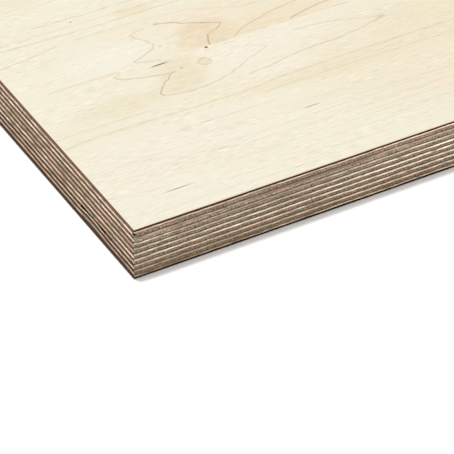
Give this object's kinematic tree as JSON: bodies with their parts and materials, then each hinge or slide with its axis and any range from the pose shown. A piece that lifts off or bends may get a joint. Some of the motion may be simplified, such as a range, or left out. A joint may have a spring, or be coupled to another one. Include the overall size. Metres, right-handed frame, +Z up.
{
  "type": "plywood sheet",
  "caption": "Thick multi-ply wooden board with a pale figured face veneer and bare layered edges, for shelves, worktops and furniture.",
  "frame": {"origin": "middle of the underside", "axes": "+X along the board's length and the grain of its faces, +Y across its width, +Z up through its thickness"},
  "size_m": [0.8, 0.4, 0.0254],
  "materials": {
    "face_veneer": "fine sanded, matt",
    "core_lengthwise": "sawn and sanded edge, matt",
    "core_crosswise": "sawn and sanded edge, matt",
    "back_veneer": "fine sanded, matt"
  },
  "bodies": {
    "root": {"top_veneer_leaf_1": "face_veneer", "top_veneer_leaf_2": "face_veneer", "top_veneer_leaf_3": "face_veneer", "core_ply_01": "core_lengthwise", "core_ply_02": "core_crosswise", "core_ply_03": "core_lengthwise", "core_ply_04": "core_crosswise", "core_ply_05": "core_lengthwise", "core_ply_06": "core_crosswise", "core_ply_07": "core_lengthwise", "core_ply_08": "core_crosswise", "core_ply_09": "core_lengthwise", "core_ply_10": "core_crosswise", "core_ply_11": "core_lengthwise", "core_ply_12": "core_crosswise", "core_ply_13": "core_lengthwise", "core_ply_14": "core_crosswise", "core_ply_15": "core_lengthwise", "core_ply_16": "core_crosswise", "core_ply_17": "core_lengthwise", "bottom_veneer": "back_veneer"}
  },
  "joints": []
}
